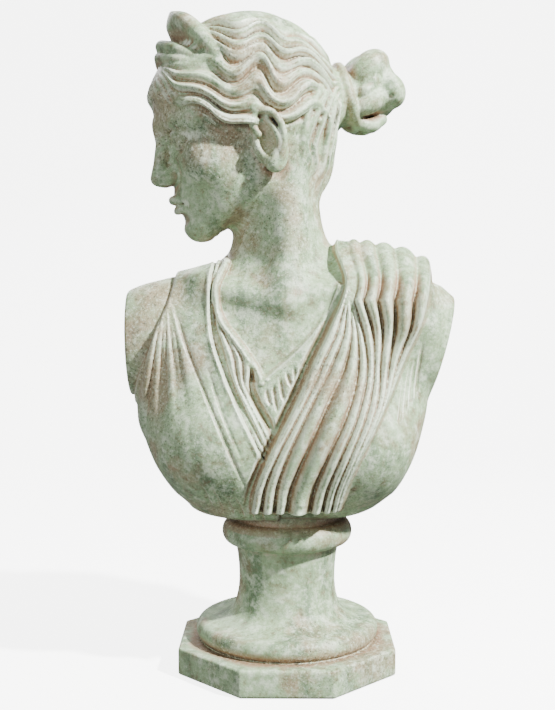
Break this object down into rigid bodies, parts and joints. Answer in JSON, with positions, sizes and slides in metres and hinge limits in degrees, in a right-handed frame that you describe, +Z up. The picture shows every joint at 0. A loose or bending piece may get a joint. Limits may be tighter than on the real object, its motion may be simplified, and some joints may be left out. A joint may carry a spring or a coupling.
{
  "type": "diana bust",
  "caption": "Garden bust of a goddess with diadem, gathered hair and draped shoulders, cast in one piece with its turned socle and octagonal plinth.",
  "frame": {"origin": "centre of the plinth's underside", "axes": "+Z up, -Y towards the draped front, +X to the viewer's right; the head looks towards -X"},
  "size_m": [0.3493, 0.23, 0.7015],
  "materials": {
    "stone": "weathered cast stone, pale green over beige, matt"
  },
  "bodies": {
    "root": {"bust": "stone"}
  },
  "joints": []
}
